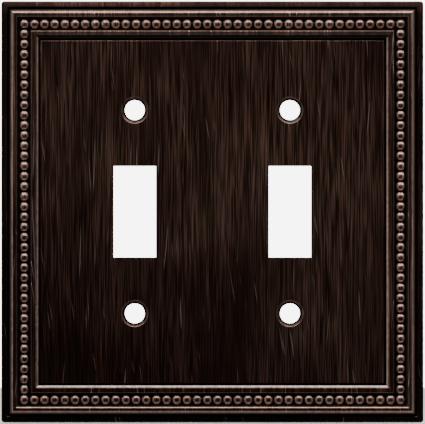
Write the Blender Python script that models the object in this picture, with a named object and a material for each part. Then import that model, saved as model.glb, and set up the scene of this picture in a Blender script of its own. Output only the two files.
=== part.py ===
"""Two-gang toggle-switch wall plate, die cast, with its four mounting screws.

The plate is drawn lying on its back (x across, y up the wall, z out of the wall)
and then turned to hang on a wall: the wall plane is y = 0, the face looks to -Y
and +Z is up. The origin is the middle of the plate on the wall plane.
"""

import math

import bmesh
import bpy
from mathutils import Matrix, Vector

MM = 0.001

# The plate as a whole
PLATE_WIDTH = 125.3 * MM
PLATE_HEIGHT = 125.1 * MM
CORNER_RADIUS = 0.9 * MM

# Outer band: the thin flange that runs round the mouldings and slopes a little outwards
BAND_WIDTH = 1.9 * MM
BAND_SIDE_HEIGHT = 4.5 * MM
BAND_EDGE_ROUND = 0.35 * MM
BAND_OUTER_HEIGHT = 4.75 * MM
BAND_INNER_HEIGHT = 5.1 * MM

# Fine groove between the band and the torus moulding
GROOVE_WIDTH = 0.55 * MM
GROOVE_DEPTH = 0.6 * MM

# Torus: the tall rounded moulding, whose crest is the front of the plate
TORUS_OUTER_WIDTH = 1.65 * MM
TORUS_INNER_WIDTH = 0.8 * MM
TORUS_HEIGHT = 9.3 * MM
TORUS_OUTER_SHOULDER = 7.3 * MM
TORUS_INNER_SHOULDER = 8.5 * MM
TORUS_SEGMENTS = 6

# Channel that holds the row of beads
CHANNEL_WIDTH = 3.85 * MM
CHANNEL_FLOOR = 8.05 * MM
BEAD_RADIUS = 1.37 * MM
BEAD_SINK = 0.2 * MM
BEAD_PITCH = 3.02 * MM
BEAD_SIDES = 8
BEAD_RINGS = 2

# Inner moulding: a rounded outer edge, a flat top and a slope down to the field's groove
MOULDING_WIDTH = 1.45 * MM
MOULDING_SHOULDER = 8.7 * MM
MOULDING_EDGE_ROUND = 0.45 * MM
MOULDING_EDGE_SEGMENTS = 3
MOULDING_HEIGHT = 9.15 * MM
SLOPE_WIDTH = 0.85 * MM
SLOPE_FOOT = 8.3 * MM
FIELD_GROOVE_WIDTH = 0.55 * MM
FIELD_GROOVE_FLOOR = 7.5 * MM
FIELD_EDGE_WIDTH = 0.5 * MM
FIELD_HEIGHT = 7.9 * MM

# Draft of the steep walls, as a die casting has
DRAFT = 0.08 * MM

# Toggle openings and screw holes, on the switch makers' common spacings
GANGS = 2
GANG_SPACING = 46.04 * MM
SCREW_SPACING = 60.33 * MM
OPENING_WIDTH = 12.6 * MM
OPENING_HEIGHT = 27.1 * MM
HOLE_DIAMETER = 5.9 * MM
DISH_DIAMETER = 7.9 * MM
DISH_SLOPE_WIDTH = 0.5 * MM
DISH_DEPTH = 0.55 * MM
DISH_SEAT_DROP = 0.15 * MM
HOLE_SIDES = 24

# Hollow back
RIM_WIDTH = 1.7 * MM
RIM_STEP_DEPTH = 3.0 * MM
TORUS_WALL = 1.2 * MM
CHANNEL_WALL = 0.95 * MM
FIELD_WALL = 1.9 * MM
BOSS_DIAMETER = 9.6 * MM
BOSS_SETBACK = 2.0 * MM
COLLAR_WALL = 1.6 * MM
COLLAR_SETBACK = 3.4 * MM
RIB_THICKNESS = 1.2 * MM
RIB_SETBACK = 3.4 * MM
RIB_EMBED = 0.2 * MM
EMBED = 0.5 * MM

# Mounting screw: 6-32 by half an inch, slotted oval head
SCREW_LENGTH = 12.7 * MM
SCREW_DIAMETER = 3.5 * MM
SCREW_HEAD_DIAMETER = 6.6 * MM
SCREW_HEAD_ANGLE = math.radians(82)
SCREW_CROWN_HEIGHT = 1.1 * MM
SCREW_CROWN_STEPS = 4
SCREW_POINT = 0.6 * MM
SLOT_WIDTH = 1.0 * MM
SLOT_DEPTH = 1.2 * MM
SCREW_SIDES = 24

# How the loose screws lie in the back: a row on the bottom wall of the hollow
SCREW_COUNT = 4
SCREW_LEDGE_GAP = 0.3 * MM
SCREW_CEILING_GAP = 0.25 * MM
SCREW_END_GAP = 1.2 * MM

TAU = 2 * math.pi


def clear_scene():
    for old in list(bpy.data.objects):
        bpy.data.objects.remove(old)


def finish_material(name, colour, roughness, metallic):
    material = bpy.data.materials.new(name)
    material.use_nodes = True
    shader = material.node_tree.nodes["Principled BSDF"]
    shader.inputs["Base Color"].default_value = (*colour, 1.0)
    shader.inputs["Roughness"].default_value = roughness
    shader.inputs["Metallic"].default_value = metallic
    return material


def mesh_object(name, bm, parent, location=(0, 0, 0), smooth_angle=None):
    mesh = bpy.data.meshes.new(name)
    bm.to_mesh(mesh)
    bm.free()
    if smooth_angle is not None:
        mesh.shade_smooth()
        mesh.set_sharp_from_angle(angle=smooth_angle)
    item = bpy.data.objects.new(name, mesh)
    item.location = location
    item.parent = parent
    bpy.context.scene.collection.objects.link(item)
    return item


def add_box(bm, low, high):
    """A box between two corners."""
    centre = (Vector(low) + Vector(high)) / 2
    size = Vector(high) - Vector(low)
    matrix = Matrix.Translation(centre) @ Matrix.Diagonal((*size, 1.0))
    bmesh.ops.create_cube(bm, size=1.0, matrix=matrix)


def add_turned(bm, profile, sides):
    """Spin (radius, height) points round z; both ends of the profile are closed."""
    verts = [bm.verts.new((radius, 0, height)) for radius, height in profile]
    edges = [bm.edges.new(pair) for pair in zip(verts, verts[1:])]
    bmesh.ops.spin(
        bm,
        geom=verts + edges,
        cent=(0, 0, 0),
        axis=(0, 0, 1),
        angle=TAU,
        steps=sides,
        use_merge=True,
    )
    bmesh.ops.remove_doubles(bm, verts=bm.verts, dist=0.001 * MM)
    open_edges = [edge for edge in bm.edges if edge.is_boundary]
    if open_edges:
        bmesh.ops.holes_fill(bm, edges=open_edges, sides=sides)
    bmesh.ops.recalc_face_normals(bm, faces=bm.faces)


def repeat_turned(name, profile, sides, places, parent):
    """The same turned shape at each (x, y) place, as one tool."""
    one = bmesh.new()
    add_turned(one, profile, sides)
    shape = bpy.data.meshes.new(name)
    one.to_mesh(shape)
    one.free()
    bm = bmesh.new()
    for x, y in places:
        bm.from_mesh(shape)
        bmesh.ops.translate(bm, vec=(x, y, 0), verts=bm.verts[-len(shape.vertices) :])
    bpy.data.meshes.remove(shape)
    return mesh_object(name, bm, parent)


def add_steps(bm, face, profile):
    """Walk a (distance in, height) profile inwards from the edge of a flat face."""
    for (near, low), (far, high) in zip(profile, profile[1:]):
        bmesh.ops.inset_region(
            bm, faces=[face], thickness=far - near, depth=high - low, use_even_offset=True
        )


def quarter_round(start, end, steps, rising):
    """Points of a quarter ellipse between two (distance, height) points."""
    points = []
    for step in range(1, steps + 1):
        turn = TAU / 4 * step / steps
        if rising:
            along, up = 1 - math.cos(turn), math.sin(turn)
        else:
            along, up = math.sin(turn), 1 - math.cos(turn)
        points.append((start[0] + (end[0] - start[0]) * along, start[1] + (end[1] - start[1]) * up))
    return points


def torus_start():
    return BAND_WIDTH + GROOVE_WIDTH


def channel_start():
    return torus_start() + TORUS_OUTER_WIDTH + TORUS_INNER_WIDTH


def moulding_start():
    return channel_start() + CHANNEL_WIDTH


def groove_start():
    return moulding_start() + MOULDING_WIDTH + SLOPE_WIDTH


def field_start():
    return groove_start() + FIELD_GROOVE_WIDTH + FIELD_EDGE_WIDTH


def bead_line():
    """Distance of the bead centres from the edge of the plate."""
    return channel_start() + CHANNEL_WIDTH / 2


def square_corner():
    """The point on the band, as (distance in, height), where its corners turn square."""
    inset = CORNER_RADIUS * 0.9
    span = BAND_WIDTH - DRAFT - BAND_EDGE_ROUND
    share = (inset - BAND_EDGE_ROUND) / span
    return inset, BAND_OUTER_HEIGHT + (BAND_INNER_HEIGHT - BAND_OUTER_HEIGHT) * share


def band_profile():
    """The rounded outer edge of the front, as far in as the corners are round."""
    return [(0, BAND_SIDE_HEIGHT), (BAND_EDGE_ROUND, BAND_OUTER_HEIGHT), square_corner()]


def border_profile():
    """The front of the plate from its square corners in to the field."""
    groove_floor = BAND_INNER_HEIGHT - GROOVE_DEPTH
    points = [
        square_corner(),
        (BAND_WIDTH - DRAFT, BAND_INNER_HEIGHT),
        (BAND_WIDTH, groove_floor),
        (torus_start(), groove_floor),
        (torus_start() + DRAFT, TORUS_OUTER_SHOULDER),
    ]
    crest = (torus_start() + TORUS_OUTER_WIDTH, TORUS_HEIGHT)
    points += quarter_round(points[-1], crest, TORUS_SEGMENTS, rising=True)
    shoulder = (channel_start() - DRAFT, TORUS_INNER_SHOULDER)
    points += quarter_round(crest, shoulder, TORUS_SEGMENTS, rising=False)
    points += [
        (channel_start(), CHANNEL_FLOOR),
        (moulding_start() - DRAFT, CHANNEL_FLOOR),
        (moulding_start(), MOULDING_SHOULDER),
    ]
    edge = (moulding_start() + MOULDING_EDGE_ROUND, MOULDING_HEIGHT)
    points += quarter_round(points[-1], edge, MOULDING_EDGE_SEGMENTS, rising=True)
    points += [
        (moulding_start() + MOULDING_WIDTH, MOULDING_HEIGHT),
        (groove_start(), SLOPE_FOOT),
        (groove_start() + DRAFT, FIELD_GROOVE_FLOOR),
        (groove_start() + FIELD_GROOVE_WIDTH, FIELD_GROOVE_FLOOR),
        (field_start(), FIELD_HEIGHT),
    ]
    return points


def front_face(bm):
    return max(bm.faces, key=lambda face: face.calc_center_median().z)


def square_corners(bm):
    """Draw each rounded corner of the front together into one square corner."""
    inset, height = square_corner()
    rim = list(front_face(bm).verts)
    for side_x in (-1, 1):
        for side_y in (-1, 1):
            corner = Vector((side_x * (PLATE_WIDTH / 2 - inset), side_y * (PLATE_HEIGHT / 2 - inset), height))
            arc = [vert for vert in rim if (vert.co - corner).length < CORNER_RADIUS / 2]
            bmesh.ops.pointmerge(bm, verts=arc, merge_co=corner)
            rim = list(front_face(bm).verts)


def plate_form(parent):
    """The outside of the casting as a solid block, before its back is hollowed."""
    bm = bmesh.new()
    add_box(
        bm,
        (-PLATE_WIDTH / 2, -PLATE_HEIGHT / 2, 0),
        (PLATE_WIDTH / 2, PLATE_HEIGHT / 2, BAND_SIDE_HEIGHT),
    )
    uprights = [edge for edge in bm.edges if abs(edge.verts[0].co.z - edge.verts[1].co.z) > 0]
    bmesh.ops.bevel(
        bm,
        geom=uprights,
        offset=CORNER_RADIUS,
        segments=4,
        profile=0.5,
        affect="EDGES",
        material=-1,
    )
    add_steps(bm, front_face(bm), band_profile())
    square_corners(bm)
    add_steps(bm, front_face(bm), border_profile())
    return mesh_object("cover_plate", bm, parent)


def hollow_core(parent):
    """The core that forms the hollow back of the casting."""
    channel_depth = CHANNEL_FLOOR - CHANNEL_WALL
    field_depth = FIELD_HEIGHT - FIELD_WALL
    steps = [
        (RIM_WIDTH, RIM_STEP_DEPTH),
        (torus_start() + TORUS_WALL - DRAFT, RIM_STEP_DEPTH),
        (torus_start() + TORUS_WALL, channel_depth),
        (groove_start() - FIELD_GROOVE_WIDTH - DRAFT, channel_depth),
        (groove_start() - FIELD_GROOVE_WIDTH, field_depth),
    ]
    bm = bmesh.new()
    add_box(
        bm,
        (-PLATE_WIDTH / 2 + RIM_WIDTH, -PLATE_HEIGHT / 2 + RIM_WIDTH, -EMBED),
        (PLATE_WIDTH / 2 - RIM_WIDTH, PLATE_HEIGHT / 2 - RIM_WIDTH, RIM_STEP_DEPTH),
    )
    add_steps(bm, front_face(bm), steps)
    return mesh_object("hollow_core", bm, parent)


def bead_places():
    """Centres of the beads round the channel, one at each corner."""
    half_width = PLATE_WIDTH / 2 - bead_line()
    half_height = PLATE_HEIGHT / 2 - bead_line()
    across = round(2 * half_width / BEAD_PITCH)
    up = round(2 * half_height / BEAD_PITCH)
    for step in range(across):
        x = -half_width + 2 * half_width * step / across
        yield x, half_height
        yield -x, -half_height
    for step in range(up):
        y = -half_height + 2 * half_height * step / up
        yield -half_width, y
        yield half_width, -y


def bead_row(parent):
    """Domes a little taller than they stand out, with their flat feet in the channel floor."""
    foot = CHANNEL_FLOOR - BEAD_SINK
    profile = [(0, foot)]
    for ring in range(BEAD_RINGS + 1):
        turn = TAU / 4 * ring / BEAD_RINGS
        profile.append((BEAD_RADIUS * math.cos(turn), foot + BEAD_RADIUS * math.sin(turn)))
    return repeat_turned("bead_row", profile, BEAD_SIDES, bead_places(), parent)


def gang_centres():
    return [(gang - (GANGS - 1) / 2) * GANG_SPACING for gang in range(GANGS)]


def hole_places():
    return [(x, side * SCREW_SPACING / 2) for side in (1, -1) for x in gang_centres()]


def screw_bosses(parent):
    """Tubular seats behind the screw holes, short of the wall."""
    front = FIELD_HEIGHT - FIELD_WALL + EMBED
    bm = bmesh.new()
    for x, y in hole_places():
        bmesh.ops.create_cone(
            bm,
            cap_ends=True,
            segments=HOLE_SIDES,
            radius1=BOSS_DIAMETER / 2,
            radius2=BOSS_DIAMETER / 2,
            depth=front - BOSS_SETBACK,
            matrix=Matrix.Translation((x, y, (front + BOSS_SETBACK) / 2)),
        )
    return mesh_object("screw_bosses", bm, parent)


def opening_collars(parent):
    """Stiffening walls behind the edges of the toggle openings."""
    bm = bmesh.new()
    for x in gang_centres():
        half_width = OPENING_WIDTH / 2 + COLLAR_WALL
        half_height = OPENING_HEIGHT / 2 + COLLAR_WALL
        add_box(
            bm,
            (x - half_width, -half_height, COLLAR_SETBACK),
            (x + half_width, half_height, FIELD_HEIGHT - FIELD_WALL + EMBED),
        )
    return mesh_object("opening_collars", bm, parent)


def upright_rib(parent):
    """The rib down the middle, from the top moulding to the bottom one."""
    reach = PLATE_HEIGHT / 2 - torus_start() - TORUS_WALL / 2
    front = CHANNEL_FLOOR - CHANNEL_WALL + RIB_EMBED
    bm = bmesh.new()
    add_box(bm, (-RIB_THICKNESS / 2, -reach, RIB_SETBACK), (RIB_THICKNESS / 2, reach, front))
    return mesh_object("upright_rib", bm, parent)


def cross_ribs(parent):
    """Ribs at mid height, from the side mouldings to the collars and between them."""
    reach = PLATE_WIDTH / 2 - torus_start() - TORUS_WALL / 2
    front = CHANNEL_FLOOR - CHANNEL_WALL + RIB_EMBED
    collar = OPENING_WIDTH / 2 + COLLAR_WALL / 2
    stops = [-reach]
    for x in gang_centres():
        stops += [x - collar, x + collar]
    stops.append(reach)
    bm = bmesh.new()
    for start, end in zip(stops[0::2], stops[1::2]):
        add_box(bm, (start, -RIB_THICKNESS / 2, RIB_SETBACK), (end, RIB_THICKNESS / 2, front))
    return mesh_object("cross_ribs", bm, parent)


def opening_cut(parent):
    bm = bmesh.new()
    for x in gang_centres():
        add_box(
            bm,
            (x - OPENING_WIDTH / 2, -OPENING_HEIGHT / 2, -EMBED),
            (x + OPENING_WIDTH / 2, OPENING_HEIGHT / 2, TORUS_HEIGHT + EMBED),
        )
    return mesh_object("opening_cut", bm, parent)


def screw_hole_cut(parent):
    """Each hole has a dished mouth: a short slope, a shallow seat and a plain bore."""
    dish = DISH_DIAMETER / 2
    bore = HOLE_DIAMETER / 2
    profile = [
        (0, -EMBED),
        (bore, -EMBED),
        (bore, FIELD_HEIGHT - DISH_DEPTH - DISH_SEAT_DROP),
        (dish - DISH_SLOPE_WIDTH, FIELD_HEIGHT - DISH_DEPTH),
        (dish, FIELD_HEIGHT),
        (dish, FIELD_HEIGHT + EMBED),
        (0, FIELD_HEIGHT + EMBED),
    ]
    return repeat_turned("screw_hole_cut", profile, HOLE_SIDES, hole_places(), parent)


def join_shape(target, tool, operation):
    """Add a shape to a piece, or cut it away, and keep the tool out of the model."""
    step = target.modifiers.new(tool.name, "BOOLEAN")
    step.operation = operation
    step.solver = "EXACT"
    step.object = tool
    tool.hide_render = True
    tool.display_type = "WIRE"


def cover_plate(parent, material):
    plate = plate_form(parent)
    plate.data.materials.append(material)
    join_shape(plate, hollow_core(parent), "DIFFERENCE")
    join_shape(plate, screw_bosses(parent), "UNION")
    join_shape(plate, opening_collars(parent), "UNION")
    join_shape(plate, upright_rib(parent), "UNION")
    join_shape(plate, cross_ribs(parent), "UNION")
    join_shape(plate, opening_cut(parent), "DIFFERENCE")
    join_shape(plate, screw_hole_cut(parent), "DIFFERENCE")
    join_shape(plate, bead_row(parent), "UNION")
    return plate


def screw_profile():
    """Half outline of the screw, from the point up to the middle of the crown."""
    head = SCREW_HEAD_DIAMETER / 2
    shank = SCREW_DIAMETER / 2
    cone = (head - shank) / math.tan(SCREW_HEAD_ANGLE / 2)
    points = [
        (0, -SCREW_LENGTH),
        (shank - SCREW_POINT, -SCREW_LENGTH),
        (shank, -SCREW_LENGTH + SCREW_POINT),
        (shank, -cone),
        (head, 0),
    ]
    for step in range(1, SCREW_CROWN_STEPS + 1):
        turn = TAU / 4 * step / SCREW_CROWN_STEPS
        points.append((head * math.cos(turn), SCREW_CROWN_HEIGHT * math.sin(turn)))
    return points


def mounting_screws(parent, material):
    """The screws in a row behind the bottom border, each on the origin of its own slide."""
    ledge = -PLATE_HEIGHT / 2 + torus_start() + TORUS_WALL
    ceiling = CHANNEL_FLOOR - CHANNEL_WALL
    height = ledge + SCREW_LEDGE_GAP + SCREW_HEAD_DIAMETER / 2
    depth = ceiling - SCREW_CEILING_GAP - SCREW_HEAD_DIAMETER / 2
    pitch = SCREW_LENGTH + SCREW_CROWN_HEIGHT + SCREW_END_GAP + RIB_THICKNESS
    for index in range(SCREW_COUNT):
        name = f"mounting_screw_{index + 1}"
        middle = (index - (SCREW_COUNT - 1) / 2) * pitch
        bm = bmesh.new()
        add_turned(bm, screw_profile(), SCREW_SIDES)
        bmesh.ops.translate(bm, vec=(0, 0, (SCREW_LENGTH - SCREW_CROWN_HEIGHT) / 2), verts=bm.verts)
        bmesh.ops.rotate(bm, matrix=Matrix.Rotation(-TAU / 4, 3, "Y"), verts=bm.verts)
        screw = mesh_object(name, bm, parent, (middle, height, depth), math.radians(35))
        screw.data.materials.append(material)
        join_shape(screw, slot_cut(name, screw), "DIFFERENCE")


def slot_cut(name, screw):
    """The driver slot across the crown, which lies to the left of the screw."""
    crown = -(SCREW_LENGTH + SCREW_CROWN_HEIGHT) / 2
    head = SCREW_HEAD_DIAMETER / 2
    bm = bmesh.new()
    add_box(
        bm,
        (crown - EMBED, -SLOT_WIDTH / 2, -head - EMBED),
        (crown + SLOT_DEPTH, SLOT_WIDTH / 2, head + EMBED),
    )
    return mesh_object(f"{name}_slot", bm, screw)


clear_scene()
wall = bpy.data.objects.new("wall", None)
wall.rotation_euler = (TAU / 4, 0, 0)
bpy.context.scene.collection.objects.link(wall)
bronze = finish_material("dark_bronze", (0.045, 0.024, 0.016), 0.38, 0.9)
screw_bronze = finish_material("dark_bronze_screw", (0.05, 0.028, 0.02), 0.35, 0.95)
cover_plate(wall, bronze)
mounting_screws(wall, screw_bronze)
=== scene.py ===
import math

import bmesh
import bpy
from mathutils import Matrix, Vector


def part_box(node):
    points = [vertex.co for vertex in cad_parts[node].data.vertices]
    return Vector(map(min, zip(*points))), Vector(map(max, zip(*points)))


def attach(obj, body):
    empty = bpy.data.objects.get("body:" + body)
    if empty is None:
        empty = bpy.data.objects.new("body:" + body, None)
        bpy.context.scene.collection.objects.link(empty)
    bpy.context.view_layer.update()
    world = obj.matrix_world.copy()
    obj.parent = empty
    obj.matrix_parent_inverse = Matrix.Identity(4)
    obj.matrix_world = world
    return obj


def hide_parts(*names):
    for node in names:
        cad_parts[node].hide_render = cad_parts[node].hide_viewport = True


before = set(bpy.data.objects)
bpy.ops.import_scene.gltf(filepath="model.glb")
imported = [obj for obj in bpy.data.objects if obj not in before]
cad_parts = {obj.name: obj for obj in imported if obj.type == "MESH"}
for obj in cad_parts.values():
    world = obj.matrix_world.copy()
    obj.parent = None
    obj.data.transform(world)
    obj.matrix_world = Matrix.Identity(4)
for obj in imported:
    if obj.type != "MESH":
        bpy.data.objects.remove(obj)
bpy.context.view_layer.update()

# --- Camera and studio ----------------------------------------------------------------
# A long lens looks straight at the plate. A large soft light hangs overhead and a little
# in front, with weaker ones at the sides and low in front, and one behind for the back. The
# surround is dark on the camera's side, so that the bronze shows its own colour.

MM = 0.001
TAU = 2 * math.pi
plate_low, plate_high = (Vector(corner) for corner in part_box("cover_plate"))

CAMERA_DISTANCE = 4.0
CAMERA_RIGHT = 0.04 * MM
CAMERA_DROP = 0.07 * MM
VIEW_WIDTH = 126.3 * MM
SENSOR_WIDTH = 36.0
NEAREST_SEEN = 0.01
FARTHEST_SEEN = 20
camera_data = bpy.data.cameras.new("camera")
camera_data.sensor_width = SENSOR_WIDTH
camera_data.lens = SENSOR_WIDTH * CAMERA_DISTANCE / VIEW_WIDTH
camera_data.clip_start = NEAREST_SEEN
camera_data.clip_end = FARTHEST_SEEN
camera = bpy.data.objects.new("camera", camera_data)
camera.location = (CAMERA_RIGHT, -CAMERA_DISTANCE, -CAMERA_DROP)
camera.rotation_euler = (TAU / 4, 0, 0)
bpy.context.scene.collection.objects.link(camera)
bpy.context.scene.camera = camera


def soft_light(name, place, size, power, colour):
    """A rectangular softbox that faces the plate."""
    light = bpy.data.lights.new(name, "AREA")
    light.shape = "RECTANGLE"
    light.size, light.size_y = size
    light.energy = power
    light.color = colour
    item = bpy.data.objects.new(name, light)
    item.location = place
    item.rotation_euler = (-Vector(place)).to_track_quat("-Z", "Y").to_euler()
    bpy.context.scene.collection.objects.link(item)


WARM_WHITE = (1.0, 0.93, 0.9)
soft_light("overhead", (0.03, -0.16, 0.42), (0.9, 0.46), 5.6, WARM_WHITE)
soft_light("left_side", (-0.54, -0.18, 0.05), (0.4, 0.7), 0.8, WARM_WHITE)
soft_light("right_side", (0.54, -0.18, 0.05), (0.4, 0.7), 0.47, WARM_WHITE)
soft_light("low_front", (0, -0.12, -0.45), (0.9, 0.3), 0.75, WARM_WHITE)
soft_light("rear_fill", (0.15, 0.9, 0.45), (0.8, 0.6), 6.0, WARM_WHITE)

BACKDROP_STRENGTH = 7.0
SURROUND_COLOUR = (0.9, 0.88, 0.86, 1)
SURROUND_FRONT = 0.05
SURROUND_BEHIND = 0.7
SURROUND_DARK_UNTIL = 0.05
SURROUND_BRIGHT_FROM = 0.5
world = bpy.data.worlds.new("studio")
world.use_nodes = True
bpy.context.scene.world = world
nodes, links = world.node_tree.nodes, world.node_tree.links
nodes.clear()
seen = nodes.new("ShaderNodeBackground")
seen.inputs["Color"].default_value = (1, 1, 1, 1)
seen.inputs["Strength"].default_value = BACKDROP_STRENGTH
lit = nodes.new("ShaderNodeBackground")
lit.inputs["Color"].default_value = SURROUND_COLOUR
direction = nodes.new("ShaderNodeTexCoord")
sides = nodes.new("ShaderNodeSeparateXYZ")
surround = nodes.new("ShaderNodeMapRange")
surround.interpolation_type = "SMOOTHSTEP"
surround.inputs["From Min"].default_value = SURROUND_DARK_UNTIL
surround.inputs["From Max"].default_value = SURROUND_BRIGHT_FROM
surround.inputs["To Min"].default_value = SURROUND_FRONT
surround.inputs["To Max"].default_value = SURROUND_BEHIND
links.new(direction.outputs["Generated"], sides.inputs[0])
links.new(sides.outputs["Y"], surround.inputs["Value"])
links.new(surround.outputs["Result"], lit.inputs["Strength"])
ray = nodes.new("ShaderNodeLightPath")
mix = nodes.new("ShaderNodeMixShader")
out = nodes.new("ShaderNodeOutputWorld")
links.new(ray.outputs["Is Camera Ray"], mix.inputs["Fac"])
links.new(lit.outputs["Background"], mix.inputs[1])
links.new(seen.outputs["Background"], mix.inputs[2])
links.new(mix.outputs["Shader"], out.inputs["Surface"])

FLOOR_SIZE = 1.6
FLOOR_GAP = 0.2 * MM
FLOOR_COLOUR = (0.86, 0.86, 0.85, 1)
bm = bmesh.new()
bmesh.ops.create_grid(bm, x_segments=1, y_segments=1, size=FLOOR_SIZE / 2)
bmesh.ops.translate(bm, vec=(0, 0, plate_low.z - FLOOR_GAP), verts=bm.verts)
floor_mesh = bpy.data.meshes.new("floor")
bm.to_mesh(floor_mesh)
bm.free()
floor = bpy.data.objects.new("floor", floor_mesh)
bpy.context.scene.collection.objects.link(floor)
pale = bpy.data.materials.new("pale_floor")
pale.use_nodes = True
paint = pale.node_tree.nodes["Principled BSDF"]
paint.inputs["Base Color"].default_value = FLOOR_COLOUR
paint.inputs["Roughness"].default_value = 0.8
floor_mesh.materials.append(pale)
floor.visible_glossy = False
floor.visible_shadow = False


# --- Cover plate ----------------------------------------------------------------------
# One zinc die casting: a thin flange, a torus moulding, a channel with a row of beads, an
# inner moulding and a flat field. Its face is plated dark bronze, brushed upright, rubbed
# through on the edges and lacquered; painted shade and painted highlights are laid into its
# colour as well. The hollow back is left as it was cast.

HALF_WIDTH = (plate_high.x - plate_low.x) / 2
HALF_HEIGHT = (plate_high.z - plate_low.z) / 2
CORNER_RADIUS = 0.9 * MM
CORNER_STEPS = 8
SQUARE_FROM = 0.9 * CORNER_RADIUS

BAND_WIDTH = 1.9 * MM
BAND_SIDE_HEIGHT = 4.5 * MM
BAND_EDGE_ROUND = 0.35 * MM
BAND_OUTER_HEIGHT = 4.75 * MM
BAND_INNER_HEIGHT = 5.1 * MM
GROOVE_WIDTH = 0.55 * MM
GROOVE_DEPTH = 0.6 * MM
TORUS_OUTER_WIDTH = 1.65 * MM
TORUS_INNER_WIDTH = 0.8 * MM
TORUS_HEIGHT = 9.3 * MM
TORUS_OUTER_SHOULDER = 7.3 * MM
TORUS_INNER_SHOULDER = 8.5 * MM
CHANNEL_WIDTH = 3.85 * MM
CHANNEL_FLOOR = 8.05 * MM
MOULDING_WIDTH = 1.45 * MM
MOULDING_SHOULDER = 8.7 * MM
MOULDING_EDGE_ROUND = 0.45 * MM
MOULDING_HEIGHT = 9.15 * MM
SLOPE_WIDTH = 0.85 * MM
SLOPE_FOOT = 8.3 * MM
FIELD_GROOVE_WIDTH = 0.55 * MM
FIELD_GROOVE_FLOOR = 7.5 * MM
FIELD_EDGE_WIDTH = 0.5 * MM
FIELD_HEIGHT = 7.9 * MM
DRAFT = 0.08 * MM
POLISH_ROUND = 0.12 * MM
EMBED = 0.5 * MM
TOOL_OVERLAP = 0.01 * MM
MERGE_DISTANCE = 0.001 * MM

torus_start = BAND_WIDTH + GROOVE_WIDTH
torus_crest = torus_start + TORUS_OUTER_WIDTH
channel_start = torus_crest + TORUS_INNER_WIDTH
moulding_start = channel_start + CHANNEL_WIDTH
moulding_edge = moulding_start + MOULDING_EDGE_ROUND
slope_start = moulding_start + MOULDING_WIDTH
groove_start = slope_start + SLOPE_WIDTH
groove_end = groove_start + FIELD_GROOVE_WIDTH
field_start = groove_end + FIELD_EDGE_WIDTH


def quarter_round(start, end, steps, rising):
    """Points of a quarter ellipse between two (distance in, height) points."""
    points = []
    for step in range(1, steps + 1):
        turn = TAU / 4 * step / steps
        along, up = math.sin(turn), 1 - math.cos(turn)
        if rising:
            along, up = up, along
        inwards = start[0] + (end[0] - start[0]) * along
        points.append((inwards, start[1] + (end[1] - start[1]) * up))
    return points


def square_corner():
    """The point on the band, as (distance in, height), where its corners turn square."""
    share = (SQUARE_FROM - BAND_EDGE_ROUND) / (BAND_WIDTH - DRAFT - BAND_EDGE_ROUND)
    return SQUARE_FROM, BAND_OUTER_HEIGHT + (BAND_INNER_HEIGHT - BAND_OUTER_HEIGHT) * share


def band_profile():
    """The rounded outer edge of the front, as far in as the corners are round."""
    points = [(0, BAND_SIDE_HEIGHT)]
    points += quarter_round(points[-1], (BAND_EDGE_ROUND, BAND_OUTER_HEIGHT), 5, rising=True)
    return points + [square_corner()]


def border_profile():
    """The front from its square corners in to the field, rounded a little by polishing."""
    soft = POLISH_ROUND
    groove_floor = BAND_INNER_HEIGHT - GROOVE_DEPTH
    band_end = BAND_WIDTH - DRAFT
    points = [square_corner(), (band_end - 2 * soft, BAND_INNER_HEIGHT)]
    points += quarter_round(points[-1], (band_end, BAND_INNER_HEIGHT - 2 * soft), 4, rising=False)
    points += [(BAND_WIDTH, groove_floor + soft)]
    points += quarter_round(points[-1], (BAND_WIDTH + soft, groove_floor), 3, rising=False)
    points += [(torus_start - soft, groove_floor), (torus_start, groove_floor + soft)]
    points += [(torus_start + DRAFT, TORUS_OUTER_SHOULDER)]
    points += quarter_round(points[-1], (torus_crest, TORUS_HEIGHT), 18, rising=True)
    points += quarter_round(points[-1], (channel_start - DRAFT, TORUS_INNER_SHOULDER), 10, rising=False)
    points += [(channel_start, CHANNEL_FLOOR + soft)]
    points += quarter_round(points[-1], (channel_start + soft, CHANNEL_FLOOR), 3, rising=False)
    channel_end = moulding_start - DRAFT
    points += [(channel_end - soft, CHANNEL_FLOOR), (channel_end, CHANNEL_FLOOR + soft)]
    points += [(moulding_start, MOULDING_SHOULDER)]
    points += quarter_round(points[-1], (moulding_edge, MOULDING_HEIGHT), 8, rising=True)
    points += [(slope_start - soft, MOULDING_HEIGHT)]
    points += [(slope_start + soft / 2, MOULDING_HEIGHT - soft / 2)]
    points += [(groove_start - soft, SLOPE_FOOT + soft)]
    points += quarter_round(points[-1], (groove_start, SLOPE_FOOT - soft), 3, rising=False)
    groove_foot = groove_start + DRAFT
    points += [(groove_foot, FIELD_GROOVE_FLOOR + soft)]
    points += quarter_round(points[-1], (groove_foot + soft, FIELD_GROOVE_FLOOR), 3, rising=False)
    points += [(groove_end, FIELD_GROOVE_FLOOR)]
    points += quarter_round(points[-1], (field_start, FIELD_HEIGHT), 6, rising=True)
    return points


def add_box(bm, low, high):
    """A box between two corners."""
    centre = (Vector(low) + Vector(high)) / 2
    size = Vector(high) - Vector(low)
    placed = Matrix.Translation(centre) @ Matrix.Diagonal((*size, 1.0))
    bmesh.ops.create_cube(bm, size=1.0, matrix=placed)


def front_face(bm):
    """The foremost face of a plate that lies on its back."""
    return max(bm.faces, key=lambda face: face.calc_center_median().z)


def add_steps(bm, face, profile):
    """Walk a (distance in, height) profile inwards from the edge of a flat face."""
    for (near, low), (far, high) in zip(profile, profile[1:]):
        bmesh.ops.inset_region(
            bm, faces=[face], thickness=far - near, depth=high - low, use_even_offset=True
        )


def loose_object(name, bm):
    """An object made of the bmesh, which is used up."""
    mesh = bpy.data.meshes.new(name)
    bm.to_mesh(mesh)
    bm.free()
    item = bpy.data.objects.new(name, mesh)
    bpy.context.scene.collection.objects.link(item)
    return item


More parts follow.
